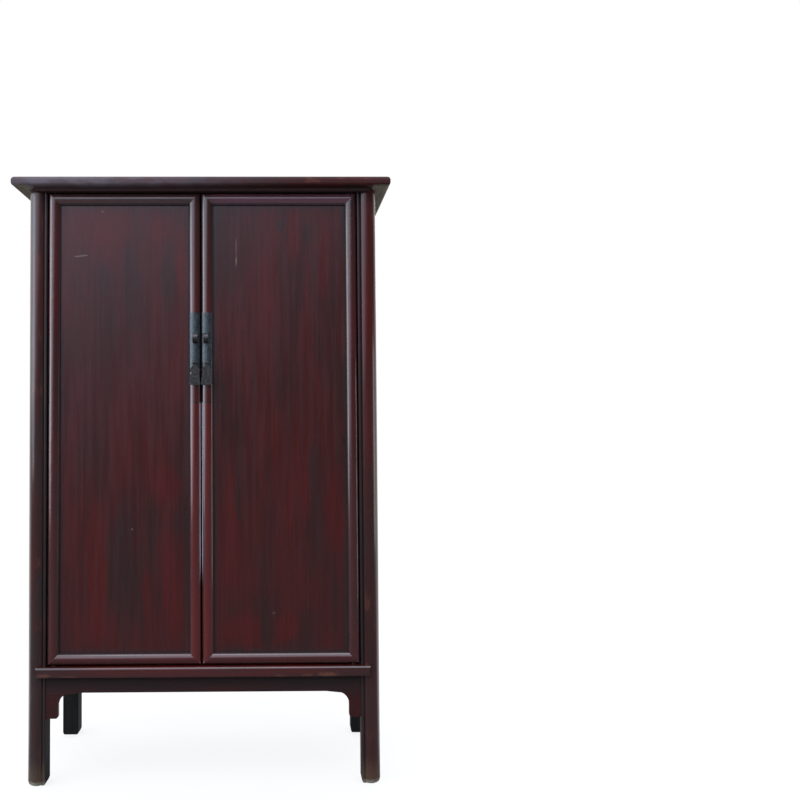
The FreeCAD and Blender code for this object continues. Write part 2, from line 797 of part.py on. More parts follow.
def rail_tenons(hand, z_edge, way, play):
    """Tenons of one door rail into both stiles; way points from the outer edge to the panel."""
    outer = z_edge + way * (DOOR_TENON_EDGE - play)
    inner = z_edge + way * (DOOR_TENON_EDGE + DOOR_TENON_HEIGHT + play)
    low, high = sorted((outer, inner))
    near = hinge_edge(z_edge) + DOOR_FRAME - DOOR_TENON_LENGTH - play
    far = meeting_edge(hand) - DOOR_FRAME + DOOR_TENON_LENGTH + play
    points = [(near, low), (near, high), (far, high), (far, low)]
    return front_prism(points, DOOR_TENON_DEPTH - play, DOOR_TENON_DEPTH + DOOR_TENON_THICK + play)


def hinge_stile(hand):
    """Stile on the post side, rounded about its own pivots."""
    def place(across, depth):
        return Vector(hinge_edge(DOOR_BOTTOM) + across, DOOR_FACE + depth, DOOR_BOTTOM)
    height = DOOR_TOP - DOOR_BOTTOM
    bar = frame_section(place, True).extrude(Vector(SIDE_SLOPE * height, 0, height))
    shape = bar.common(joined([mitred(hand, 0), stile_body(hand, True)]))
    mortises = [rail_tenons(hand, DOOR_BOTTOM, 1, PLAY), rail_tenons(hand, DOOR_TOP, -1, PLAY)]
    bottom_end = BASE_TOP - BOTTOM_PIN_BITE
    top_end = POST_HEIGHT + LIP_HOUSING
    bottom_pin = pivot(PIN_RADIUS, bottom_end, DOOR_BOTTOM + PIN_ROOT)
    top_pin = pivot(PIN_RADIUS, DOOR_TOP - PIN_ROOT, top_end)
    return joined([cut_by(shape, mortises), bottom_pin, top_pin])


def pivot(radius, z_low, z_high):
    """Length of the left door's pivot line as a round bar, before the door is tipped."""
    x = hinge_edge(z_low) + PIVOT_INSET
    direction = Vector(SIDE_SLOPE, 0, 1)
    length = (z_high - z_low) * direction.Length
    return Part.makeCylinder(radius, length, Vector(x, DOOR_FACE + PIVOT_DEPTH, z_low), direction)


def bottom_bore():
    """Socket for the left door's lower pivot."""
    low = BASE_TOP - BOTTOM_PIN_BITE - RUNNING_PLAY
    return on_front_plane(pivot(PIN_RADIUS + RUNNING_PLAY, low, BASE_TOP + OVERRUN))


def top_bore():
    """Socket for the left door's upper pivot, deeper than the pin by more than the door can rise."""
    high = POST_HEIGHT + LIP_HOUSING + SOCKET_ROOM
    return on_front_plane(pivot(PIN_RADIUS + RUNNING_PLAY, DOOR_TOP, high))


def lock_stile(hand):
    """Stile on the meeting side, pierced for the plate's nails and staples."""
    def place(across, depth):
        return Vector(meeting_edge(hand) - across, DOOR_FACE + depth, DOOR_BOTTOM)
    bar = frame_section(place, False).extrude(Vector(0, 0, DOOR_TOP - DOOR_BOTTOM))
    shape = bar.common(joined([mitred(hand, 2), stile_body(hand, False)]))
    tools = [rail_tenons(hand, DOOR_BOTTOM, 1, PLAY), rail_tenons(hand, DOOR_TOP, -1, PLAY)]
    return cut_by(shape, tools + plate_holes(hand))


def door_rail(hand, z_edge, way, index):
    """Top or bottom rail; way points from its outer edge to the panel."""
    def place(across, depth):
        return Vector(left(POST)(0), DOOR_FACE + depth, z_edge + way * across)
    reach = meeting_edge(hand) - left(POST)(0)
    bar = frame_section(place, False).extrude(Vector(reach, 0, 0))
    z_low, z_high = sorted((z_edge, z_edge + way * DOOR_FRAME))
    body = rail_body(hand, z_low, z_high)
    shape = bar.common(joined([mitred(hand, index), body]))
    return joined([shape, rail_tenons(hand, z_edge, way, 0).cut(body)])


def door_panel(hand):
    """Flat panel, tongued into the frame all round."""
    points = door_corners(hand, DOOR_FRAME - DOOR_TONGUE + RUNNING_PLAY)
    depth = ROLL_RISE + DOOR_PANEL_RECESS
    return front_prism(points, depth, depth + DOOR_PANEL_THICK)


def door_battens(hand):
    """Battens across the back of the panel, flush with the back of the frame."""
    depth = ROLL_RISE + DOOR_PANEL_RECESS + DOOR_PANEL_THICK
    free = meeting_edge(hand) - DOOR_FRAME
    bars = []
    for share in DOOR_BATTEN_SHARES:
        low = DOOR_BOTTOM + share * (DOOR_TOP - DOOR_BOTTOM) - DOOR_BATTEN_HEIGHT / 2
        high = low + DOOR_BATTEN_HEIGHT
        points = [
            (hinge_edge(low) + DOOR_FRAME, low), (hinge_edge(high) + DOOR_FRAME, high),
            (free, high), (free, low),
        ]
        bars.append(front_prism(points, depth, DOOR_THICK))
    return Part.Compound(bars)


# Metalwork on the lock stiles

def plate_middle(hand):
    return meeting_edge(hand) - ROLL_WIDTH / 2


def plate_face():
    """Front of the face plate in Y, on the crown of the stile."""
    return DOOR_FACE - PLAY - PLATE_THICK


def face_plate(hand):
    """Sheet bent round the roll of the stile."""
    middle = plate_middle(hand)
    centre = DOOR_FACE + ROLL_RADIUS
    inner = ROLL_RADIUS + PLAY
    outer = inner + PLATE_THICK
    slant = math.asin(PLATE_WIDTH / 2 / outer)

    def place(across, depth):
        return Vector(middle + across, centre - depth, PLATE_BOTTOM)

    def corner(radius, sign):
        return (sign * radius * math.sin(slant), radius * math.cos(slant))
    steps = [
        ((0, outer), corner(outer, 1)),
        corner(inner, 1),
        ((0, inner), corner(inner, -1)),
        corner(outer, -1),
    ]
    sheet = outline(place, corner(outer, -1), steps).extrude(Vector(0, 0, PLATE_HEIGHT))
    return cut_by(sheet, plate_holes(hand))


def bar_y(x, z, radius, y_low, y_high):
    return Part.makeCylinder(radius, y_high - y_low, Vector(x, y_low, z), Vector(0, 1, 0))


def plate_holes(hand):
    """Holes for the nails and for the legs of both staples."""
    middle = plate_middle(hand)
    rear = DOOR_FACE + DOOR_THICK + OVERRUN
    holes = []
    for z in NAIL_HEIGHTS:
        end = plate_face() + NAIL_LENGTH + PLAY
        holes.append(bar_y(middle, z, NAIL_RADIUS + PLAY, plate_face() - OVERRUN, end))
    holes += lock_legs(hand, PLAY, rear)
    for sign in (-1, 1):
        x = middle + sign * PULL_STAPLE_SPAN / 2
        holes.append(bar_y(x, PULL_HEIGHT, PULL_WIRE + PLAY, plate_face() - OVERRUN, rear))
    return holes


def plate_nails(hand):
    """Dome-headed nails on the middle line of the plate."""
    nails = []
    x = plate_middle(hand)
    for z in NAIL_HEIGHTS:
        seat = plate_face() - PLAY / 2
        shank = bar_y(x, z, NAIL_RADIUS, seat, plate_face() + NAIL_LENGTH)
        dome_radius = (NAIL_HEAD_RADIUS ** 2 + NAIL_HEAD_RISE ** 2) / (2 * NAIL_HEAD_RISE)
        dome = Part.makeSphere(dome_radius, Vector(x, seat + dome_radius - NAIL_HEAD_RISE, z))
        reach = NAIL_HEAD_RADIUS
        front_y = seat - NAIL_HEAD_RISE - PLAY
        keep = box(x - reach, x + reach, front_y, seat, z - reach, z + reach)
        nails.append(joined([dome.common(keep), shank]))
    return Part.Compound(nails)


def lock_legs(hand, play, rear):
    """Legs of the lock staple through the plate and stile."""
    middle = plate_middle(hand) + LOCK_SHIFT
    half = LOCK_WIDTH / 2 + play
    legs = []
    for sign in (-1, 1):
        outer = LOCK_HEIGHT + sign * (LOCK_RADIUS + play)
        inner = LOCK_HEIGHT + sign * (LOCK_RADIUS - LOCK_STRAP - play)
        low, high = sorted((outer, inner))
        legs.append(box(middle - half, middle + half, plate_face(), rear, low, high))
    return legs


def lock_staple(hand):
    """Half-round strap that a padlock bar passes through, clinched behind the stile."""
    middle = plate_middle(hand) + LOCK_SHIFT
    half = LOCK_WIDTH / 2
    root = plate_face()
    back_face = DOOR_FACE + DOOR_THICK + PLAY
    tail_end = back_face + LOCK_TAIL_THICK

    def place(out, up):
        return Vector(middle - half, root - out, LOCK_HEIGHT + up)
    inner = LOCK_RADIUS - LOCK_STRAP
    steps = [
        ((LOCK_RADIUS, 0), (0, LOCK_RADIUS)),
        (0, inner),
        ((inner, 0), (0, -inner)),
        (0, -LOCK_RADIUS),
    ]
    bow = outline(place, (0, -LOCK_RADIUS), steps).extrude(Vector(LOCK_WIDTH, 0, 0))
    pieces = [bow] + lock_legs(hand, 0, tail_end)
    for sign in (-1, 1):
        low, high = sorted((LOCK_HEIGHT + sign * inner, LOCK_HEIGHT + sign * (LOCK_RADIUS + LOCK_TAIL)))
        pieces.append(box(middle - half, middle + half, back_face, tail_end, low, high))
    return joined(pieces)


def pull_staple(hand):
    """Wire staple whose front bar carries the pull, clinched behind the stile."""
    bar = DOOR_FACE - PULL_STANDOFF
    back_face = DOOR_FACE + DOOR_THICK + PLAY + PULL_WIRE
    half = PULL_STAPLE_SPAN / 2
    middle = plate_middle(hand)
    start = Vector(middle - half, bar, PULL_HEIGHT)
    pieces = [Part.makeCylinder(PULL_WIRE, 2 * half, start, Vector(1, 0, 0))]
    for sign in (-1, 1):
        front_bend = Vector(middle + sign * half, bar, PULL_HEIGHT)
        rear_bend = Vector(middle + sign * half, back_face, PULL_HEIGHT)
        pieces.append(bar_y(front_bend.x, PULL_HEIGHT, PULL_WIRE, bar, back_face))
        pieces.append(Part.makeSphere(PULL_WIRE, front_bend))
        pieces.append(Part.makeSphere(PULL_WIRE, rear_bend))
        pieces.append(Part.makeCylinder(PULL_WIRE, PULL_TAIL, rear_bend, Vector(0, 0, sign)))
    return joined(pieces)


def pull(hand):
    """Hanging pull: an eye curled round the staple's bar over a shaped tongue."""
    middle = plate_middle(hand)
    bar = DOOR_FACE - PULL_STANDOFF
    bore = PULL_WIRE + RUNNING_PLAY
    start = Vector(middle - CURL_WIDTH / 2, bar, PULL_HEIGHT)
    curl = Part.makeCylinder(bore + CURL_WALL, CURL_WIDTH, start, Vector(1, 0, 0))
    hole_start = start - Vector(OVERRUN, 0, 0)
    hole = Part.makeCylinder(bore, CURL_WIDTH + 2 * OVERRUN, hole_start, Vector(1, 0, 0))

    def place(across, up):
        return Vector(middle + across, bar - PULL_THICK / 2, PULL_HEIGHT + up)

    def spot(shares, sign):
        return (sign * shares[0] * PULL_HALF_WIDTH, -shares[1] * PULL_LENGTH)

    def half(sign):
        return [
            (spot(PULL_ROOF_SHARES, sign), spot(PULL_TIP_SHARES, sign)),
            spot(PULL_TIP_LOW_SHARES, sign),
            (spot(PULL_NOTCH_SHARES, sign), spot(PULL_WAIST_SHARES, sign)),
            spot(PULL_FOOT_SHARES, sign),
            spot(PULL_CORNER_SHARES, sign),
        ]
    right = half(1)
    left_side = half(-1)
    steps = right + [((0, -PULL_LENGTH), spot(PULL_CORNER_SHARES, -1))]
    steps += [
        left_side[3],
        spot(PULL_WAIST_SHARES, -1),
        (spot(PULL_NOTCH_SHARES, -1), spot(PULL_TIP_LOW_SHARES, -1)),
        spot(PULL_TIP_SHARES, -1),
        (spot(PULL_ROOF_SHARES, -1), spot(PULL_NECK_SHARES, -1)),
        spot(PULL_NECK_SHARES, 1),
    ]
    tongue = outline(place, spot(PULL_NECK_SHARES, 1), steps).extrude(Vector(0, PULL_THICK, 0))
    return joined([curl, tongue]).cut(hole)


def door(hand):
    """All pieces of one door, upright, as the left-hand door."""
    return {
        "door_hinge_stile": hinge_stile(hand),
        "door_lock_stile": lock_stile(hand),
        "door_top_rail": door_rail(hand, DOOR_TOP, -1, 1),
        "door_bottom_rail": door_rail(hand, DOOR_BOTTOM, 1, 3),
        "door_panel": door_panel(hand),
        "door_battens": door_battens(hand),
        "face_plate": face_plate(hand),
        "plate_nails": plate_nails(hand),
        "lock_staple": lock_staple(hand),
        "pull_staple": pull_staple(hand),
        "pull": pull(hand),
    }


def carcass():
    """Everything that stands still."""
    post_shapes = posts()
    pieces = dict(post_shapes)
    pieces.update(cap_frame())
    pieces["cap_panel"] = cap_panel()
    pieces["cap_battens"] = cap_battens()
    pieces["lip_rail"] = lip_rail(list(post_shapes.values()))
    pieces["base_rail_front"] = base_rail_front(list(post_shapes.values()))
    pieces["base_rail_back"] = base_rail_back()
    pieces["base_rail_right"] = base_rail_right()
    pieces["floor_panel"] = floor_panel()
    pieces["floor_battens"] = floor_battens()
    pieces["apron_front"] = apron_front()
    pieces["apron_right"] = apron_right()
    pieces["spandrels_front"] = spandrels_front()
    pieces["spandrels_right"] = spandrels_right()
    pieces["side_panel_right"] = side_panel()
    pieces["side_battens_right"] = side_battens()
    pieces["back_panel_right"] = back_panel_right()
    pieces["back_muntin"] = back_muntin()
    pieces["back_battens"] = back_battens()
    for level, top in zip(("lower", "upper"), SHELF_TOPS):
        pieces["shelf_" + level] = shelf(top)
        pieces["shelf_bearers_" + level] = shelf_bearers(top)
    mirrored = ("base_rail", "apron", "spandrels", "side_panel", "side_battens", "back_panel")
    for name in mirrored:
        pieces[name + "_left"] = mirror_x(pieces[name + "_right"])
    return pieces


def build():
    pieces = carcass()
    for name, shape in door(1).items():
        pieces["left_" + name] = on_front_plane(shape)
    for name, shape in door(-1).items():
        pieces["right_" + name] = mirror_x(on_front_plane(shape))
    return pieces


os.makedirs("parts", exist_ok=True)
for node, solid in build().items():
    solid.exportStep("parts/" + node + ".step")
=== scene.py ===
import math

import bpy
from mathutils import Matrix, Vector

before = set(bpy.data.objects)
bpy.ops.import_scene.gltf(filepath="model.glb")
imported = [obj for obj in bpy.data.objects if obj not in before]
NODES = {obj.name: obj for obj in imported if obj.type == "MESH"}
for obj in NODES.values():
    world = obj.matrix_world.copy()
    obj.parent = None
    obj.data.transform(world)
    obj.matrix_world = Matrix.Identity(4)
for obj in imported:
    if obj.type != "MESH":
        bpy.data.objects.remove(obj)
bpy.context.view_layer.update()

# Metres. X runs to the right, the front faces -Y, Z is up.
X, Y, Z = range(3)
UP = (0.0, 0.0, 1.0)
DOWN = (0.0, 0.0, -1.0)
BACKWARDS = (0.0, 1.0, 0.0)
RIGHTWARDS = (1.0, 0.0, 0.0)
LEFTWARDS = (-1.0, 0.0, 0.0)

# Camera, fitted to the photograph
FOCAL_LENGTH_PX = 838.7
IMAGE_PX = 800.0
SENSOR_MM = 36.0
PRINCIPAL_X_PX = 292.1
PRINCIPAL_Y_PX = 413.5
CAMERA_PLACE = (0.234, -2.708, 1.0757)
CAMERA_YAW = math.radians(-0.68)
CAMERA_PITCH = math.radians(0.41)
CAMERA_ROLL = math.radians(-0.20)
LEVEL = math.radians(90)

# Light. Each lamp: place, what it is aimed at, width and height, radiance where 1 is white, colour
WHITE = (1.0, 1.0, 1.0)
FULL = 1.0
SKY_COOL = (0.78, 0.87, 1.0)
SKY_TILT = 0.6
AIM = (0.0, 0.0, 0.95)
LAMPS = {
    "left_box": ((-2.5, -1.2, 1.45), AIM, (1.3, 1.9), 2.5, (0.92, 0.96, 1.0)),
    "right_box": ((2.7, -0.5, 0.75), AIM, (0.9, 1.3), 2.6, (1.0, 0.96, 0.95)),
    "high_box": ((0.0, -1.7, 3.7), AIM, (2.4, 1.1), 2.6, (0.92, 0.96, 1.0)),
    "rear_box": ((0.6, 3.4, 2.6), AIM, (2.6, 1.6), 3.0, (1.0, 0.98, 0.96)),
}

# Floor
FLOOR_SIZE = 40.0
FLOOR_COLOUR = (0.130, 0.127, 0.124)
FLOOR_TINT = (0.150, 0.147, 0.144)
FLOOR_GLOW = 0.82

# Places on the posts and the doors
POST_HEIGHT = 1.760
SIDE_SLOPE = 0.008 / POST_HEIGHT
FRONT_SLOPE = 0.005 / POST_HEIGHT
POST_INNER_X = 0.4665
POST_INNER_Y = 0.174
POST_EDGES = ((X, SIDE_SLOPE, POST_INNER_X), (Y, FRONT_SLOPE, POST_INNER_Y))
QUIRK_FROM_INNER = 0.00925
QUIRK_HALF = 0.0020
BEAD_HALF = 0.0070
DOOR_FACE_Y = -0.229
MEETING_X = -0.006
PULLS_BOTTOM_Z = 1.127
PULLS_LINE_HALF = 0.0011

# Soft edges of the pieces
WELD = 0.00002
FLAT_ANGLE = math.radians(0.6)
CREASE_ANGLE = math.radians(34)
WOOD_EDGE = 0.0012
METAL_EDGE = 0.0003
EDGE_STEPS = 2

# Words in the names of the pieces. Grain runs along Z where neither of the first two lists says more.
ALONG_Y = ("cap_left", "cap_right", "base_rail_left", "base_rail_right", "apron_left",
           "apron_right", "spandrels_left", "spandrels_right", "side_battens", "shelf_bearers",
           "floor_battens", "cap_battens")
ALONG_X = ("cap_front", "cap_back", "cap_panel", "lip_rail", "base_rail_front", "base_rail_back",
           "apron_front", "spandrels_front", "door_top_rail", "door_bottom_rail", "battens",
           "shelf_lower", "shelf_upper", "floor_panel")
DARK_METAL = ("pull", "lock_staple")

# The first word that a lacquered piece's name holds gives its kind, and any other piece is a frame
KINDS = {
    "post_front": "post_front", "post_back": "post_back", "base_rail_front": "ledge",
    "lip_rail": "lip", "side_panel_left": "side_left", "side_panel_right": "side_right",
    "cap_": "cap", "apron": "apron", "spandrels": "apron", "lock_stile": "lock_stile",
    "door_panel": "door_panel", "door_": "door",
}

# Lacquer, wood and metal colours. Each pair of tones is dark, then pale.
RED = (0.068, 0.0052, 0.0036)
BROWN = (0.033, 0.0080, 0.0060)
NEAR_BLACK = (0.010, 0.0062, 0.0052)
RUBBED = (0.095, 0.0060, 0.0042)
ORANGE = (0.110, 0.0330, 0.0170)
DARK_GREY = (0.022, 0.0162, 0.0145)
ASHEN = (0.070, 0.0560, 0.0570)
# Colour of a painted sheen on the cap's left
CAP_SHEEN_GREY = (0.115, 0.0930, 0.1070)
# Colour of a painted reflection in the seam between the doors
SEAM_REFLECTION = (0.420, 0.4100, 0.4800)
# Colour of a painted sheen on the right top rail
ROSE_SHEEN = (0.150, 0.0500, 0.0750)
GLINT = (0.42, 0.42, 0.40)
BARE = ((0.155, 0.098, 0.055), (0.300, 0.215, 0.130))
DUSTY = ((0.130, 0.100, 0.070), (0.300, 0.270, 0.210))
# Bare wood tones painted near black: the wood's own dark tone with painted shade, for the posts'
# inner and hidden faces
WOOD_IN_SHADE = ((0.004, 0.0042, 0.0038), (0.015, 0.0150, 0.0135))
IRON = ((0.048, 0.056, 0.062), (0.100, 0.118, 0.130))
RUST = ((0.040, 0.036, 0.036), (0.085, 0.080, 0.082))
BARE_DARK = BARE[0]
DUSTY_PALE = DUSTY[1]

# Sheen of each kind of lacquer: share of red, specular, coat
SHEENS = {
    "frame": (0.50, 0.35, 1.0),
    "door": (0.60, 0.35, 1.0),
    "ledge": (0.60, 0.35, 1.0),
    "post_front": (0.50, 0.30, 0.6),
    "post_back": (0.50, 0.20, 0.6),
    "door_panel": (0.50, 0.50, 0.0),
    "side": (0.45, 0.40, 0.0),
    "apron": (0.45, 0.30, 0.0),
    "cap": (0.35, 0.20, 0.0),
    "lip": (0.35, 0.25, 0.0),
}
COAT_ROUGHNESS = 0.13
MATT_ROUGHNESS = 0.85
GLOSS_TINT = (0.94, 0.90, 1.0)
BARE_SPECULAR = 0.3
METAL_SPECULAR = 0.5
METALLIC = 0.85

# Depth of the relief, and the weight of its coarser part
WOOD_RELIEF = 0.0002
LACQUER_RELIEF = 0.00012
METAL_RELIEF = 0.00008
WAVE_WEIGHT = 4.0
STAIN_WEIGHT = 3.0

# Noises: share of the scale along the grain, scale, detail, roughness, distortion
NOISES = {
    "wood rings": (0.025, 75.0, 3.0, 0.60, 0.3),
    "wood fibres": (0.020, 420.0, 2.0, 0.50, 0.0),
    "wood dirt": (0.400, 7.0, 4.0, 0.60, 0.0),
    "wood sheen": (1.0, 30.0, 3.0, 0.50, 0.0),
    "relief fibres": (0.030, 380.0, 3.0, 0.55, 0.0),
    "relief waves": (0.250, 16.0, 2.0, 0.50, 0.0),
    "clouds": (0.280, 11.0, 3.0, 0.55, 0.2),
    "bands": (0.020, 110.0, 2.0, 0.50, 0.0),
    "panel jitter": (0.200, 40.0, 3.0, 0.50, 0.0),
    "haze": (0.220, 18.0, 2.0, 0.50, 0.3),
    "lacquer fibres": (0.010, 260.0, 3.0, 0.65, 0.0),
    "pores": (0.025, 620.0, 2.0, 0.50, 0.0),
    "dullness": (0.050, 70.0, 2.0, 0.50, 0.0),
    "stains": (1.0, 150.0, 5.0, 0.65, 0.0),
    "brush marks": (0.080, 900.0, 2.0, 0.50, 0.0),
    "ragged foot": (1.0, 60.0, 3.0, 0.50, 0.0),
    "post smoke": (0.250, 21.0, 4.0, 0.60, 0.0),
    "post rubs": (0.350, 26.0, 3.0, 0.60, 0.0),
    "stile rubs": (0.200, 24.0, 4.0, 0.60, 0.0),
    "cap blotches": (1.0, 42.0, 3.0, 0.60, 0.0),
    "ledge jitter": (1.0, 90.0, 3.0, 0.50, 0.0),
    "floor mottle": (1.0, 3.0, 3.0, 0.50, 0.0),
}
CAP_SQUEEZE = (0.35, 0.35, 1.0)

# Smooth ramps: from, to, and the results at both, which are 0 and 1 where the row gives none
RAMPS = {
    "spot": (1.25, 0.35),
    "looking": (0.6, 0.8),
    "inner face": (-0.6, -0.8),
    "outer face": (0.3, 0.6),
    "right half": (-0.1, 0.1),
    # Bare wood and metal
    "wood rings": (0.28, 0.66),
    "wood fibres": (0.30, 0.75, 0.0, 0.35),
    "wood dirt": (0.42, 0.72, 0.0, 0.45),
    "wood sheen": (0.30, 0.70, 0.62, 0.82),
    "stains": (0.35, 0.70),
    "metal sheen": (0.30, 0.70, 0.32, 0.50),
    # Lacquer
    "red": (0.0, 1.0),
    "haze": (0.48, 0.74),
    "hazy brown": (0.9, 0.1),
    "lacquer fibres": (0.42, 0.72, 0.0, 0.38),
    "pores": (0.50, 0.78, 0.0, 0.30),
    "lacquer sheen": (0.55, 0.95, 0.22, 0.32),
    # Posts, with heights in metres
    "post smoke": (0.46, 0.64, 0.15, 0.75),
    "smoky left": (-0.1, 0.1, 1.0, 0.25),
    "post top": (0.9, 1.4),
    "post rubs": (0.58, 0.70, 0.0, 0.45),
    "post side": (0.80, 0.97),
    "hazy leg": (0.36, 0.28, 0.0, 0.15),
    "worn foot": (0.100, 0.030, 0.0, 0.40),
    "bare foot": (0.026, 0.014, 0.0, 0.80),
    # Doors, with places in metres
    "panel outer edge": (0.409, 0.426),
    "panel inner edge": (0.053, 0.038),
    "panel top": (1.693, 1.716),
    "panel bottom": (0.408, 0.386),
    "roll end": (0.0050, 0.0074, 0.0, 0.85),
    "top rails": (1.60, 1.70),
    "right top rail": (0.0, 0.05, 0.0, 0.6),
    "below pulls": (1.130, 1.124),
    "stile rubs": (0.3, 0.7, 0.95, 0.50),
    "seam width": (0.0055, 0.0038),
    "seam depth": (0.013, 0.009),
    "seam end": (0.58, 0.68),
    # Cap, ledge and apron, with places in metres
    "past the posts": (0.500, 0.508),
    "cap left": (0.35, -0.45),
    "sheen blotches": (0.42, 0.60, 0.65, 1.0),
    "dark blotches": (0.54, 0.64, 0.0, 0.55),
    "orange blotches": (0.40, 0.34, 0.0, 0.50),
    "ledge ends": (0.25, 0.45, 0.0, 0.45),
    # Painted shadow of the ledge on the apron, by height
    "shade under ledge": (0.250, 0.312, 0.30, 0.85),
    # Sky and floor
    "sky": (0.06, 0.60, 0.15, 2.4),
    "sky behind": (0.0, 0.5),
    "floor behind": (-0.25, 0.1),
    "far floor": (1.3, 3.2),
}

# Weights and shares of what the tables above draw
NOISE_MIDDLE = 0.5
CLOUD_WEIGHT = 1.7
BAND_WEIGHT = 0.5
PANEL_WEAR_WEIGHT = 0.9
CLOUD_DULLNESS = 0.5
HAZE_SHARE = 0.3
BEAD_SHADE = 0.6
POST_RED = 0.35
POST_SIDE_SHADE = 0.3
PANEL_EDGE_SHADE = 0.45
TOP_RAIL_SHEEN = 0.4
PULLS_LINE_SHARE = 0.9
SEAM_REFLECTION_SHARE = 0.8
CAP_TOP_CALM = 0.75
CAP_MATT = 0.5
LIP_DUST = 0.35
LIP_MATT = 0.3
NOT_MATT = 0.0
PANEL_JITTER = 0.04
LEDGE_JITTER = 0.012
FOOT_RAGGED = 0.02
STRIPE_FADE = 2.0

# Socket numbers of a mixing node, by what it mixes: the share and both values, then the result
MIX_SOCKETS = {"RGBA": ((0, 6, 7), 2), "FLOAT": ((0, 2, 3), 0)}

# Wear on the door panels: x, z, half width, half height, strength (red above zero, grey below)
PANEL_WEAR = (
    (-0.319, 0.627, 0.034, 0.230, 0.80),
    (-0.114, 0.883, 0.055, 0.065, 0.50),
    (-0.093, 0.577, 0.032, 0.170, 0.55),
    (-0.173, 0.559, 0.016, 0.085, 0.50),
    (-0.282, 1.666, 0.075, 0.060, 0.55),
    (-0.060, 1.553, 0.022, 0.105, 0.60),
    (-0.129, 1.645, 0.032, 0.038, 0.50),
    (-0.295, 1.493, 0.024, 0.050, -0.60),
    (-0.215, 1.499, 0.028, 0.105, -0.60),
    (-0.102, 1.508, 0.027, 0.115, -0.50),
    (-0.239, 0.615, 0.055, 0.210, -0.55),
    (0.080, 0.749, 0.027, 0.155, 0.70),
    (0.115, 0.449, 0.064, 0.055, 0.75),
    (0.246, 0.458, 0.034, 0.044, 0.70),
    (0.255, 0.806, 0.014, 0.075, 0.60),
    (0.393, 0.809, 0.032, 0.135, 0.70),
    (0.275, 1.633, 0.022, 0.090, 0.50),
    (0.365, 1.559, 0.022, 0.165, 0.50),
    (0.315, 1.630, 0.018, 0.038, -0.60),
    (0.225, 1.651, 0.018, 0.023, -0.60),
    (0.330, 0.824, 0.022, 0.205, -0.65),
    (0.100, 0.833, 0.013, 0.145, -0.55),
    (0.186, 0.467, 0.016, 0.085, -0.80),
)

# Small marks: x, z, half width, half height, strength
PANEL_SCRATCHES = (
    (-0.374, 1.5625, 0.010, 0.0012, 0.60),
    (-0.361, 1.5640, 0.010, 0.0012, 0.75),
    (-0.349, 1.5655, 0.009, 0.0012, 0.60),
    (-0.298, 1.6960, 0.003, 0.0035, 0.35),
    (-0.212, 0.7520, 0.0025, 0.0025, 0.50),
    (0.0985, 1.5480, 0.0028, 0.016, 0.32),
    (0.0985, 1.5880, 0.0028, 0.030, 0.16),
    (0.207, 0.5020, 0.005, 0.0011, 0.50),
)
PANEL_NICKS = (
    (-0.054, 0.8120, 0.003, 0.006, 0.90),
    (0.124, 1.3360, 0.0038, 0.0038, 0.90),
    (0.418, 1.0100, 0.004, 0.014, 0.70),
)
# Painted shade for a hole on the left pull, and a painted highlight on its side
PULL_HOLE_SHADE = ((-0.0247, 1.2433, 0.0040, 0.0030, 0.90),)
PULL_GLINTS = ((-0.0351, 1.2136, 0.0025, 0.0045, 0.70),)
LEDGE_RUBS = (
    (0.365, 0.3270, 0.034, 0.0075, 0.95),
    (0.305, 0.3240, 0.020, 0.0060, 0.60),
    (0.225, 0.3240, 0.018, 0.0050, 0.50),
    (-0.468, 0.3260, 0.022, 0.0080, 0.75),
    (-0.400, 0.3230, 0.030, 0.0050, 0.45),
)


def has(name, words):
    return any(word in name for word in words)


def grain_axis(name):
    if has(name, ALONG_Y):
        return Y
    return X if has(name, ALONG_X) else Z


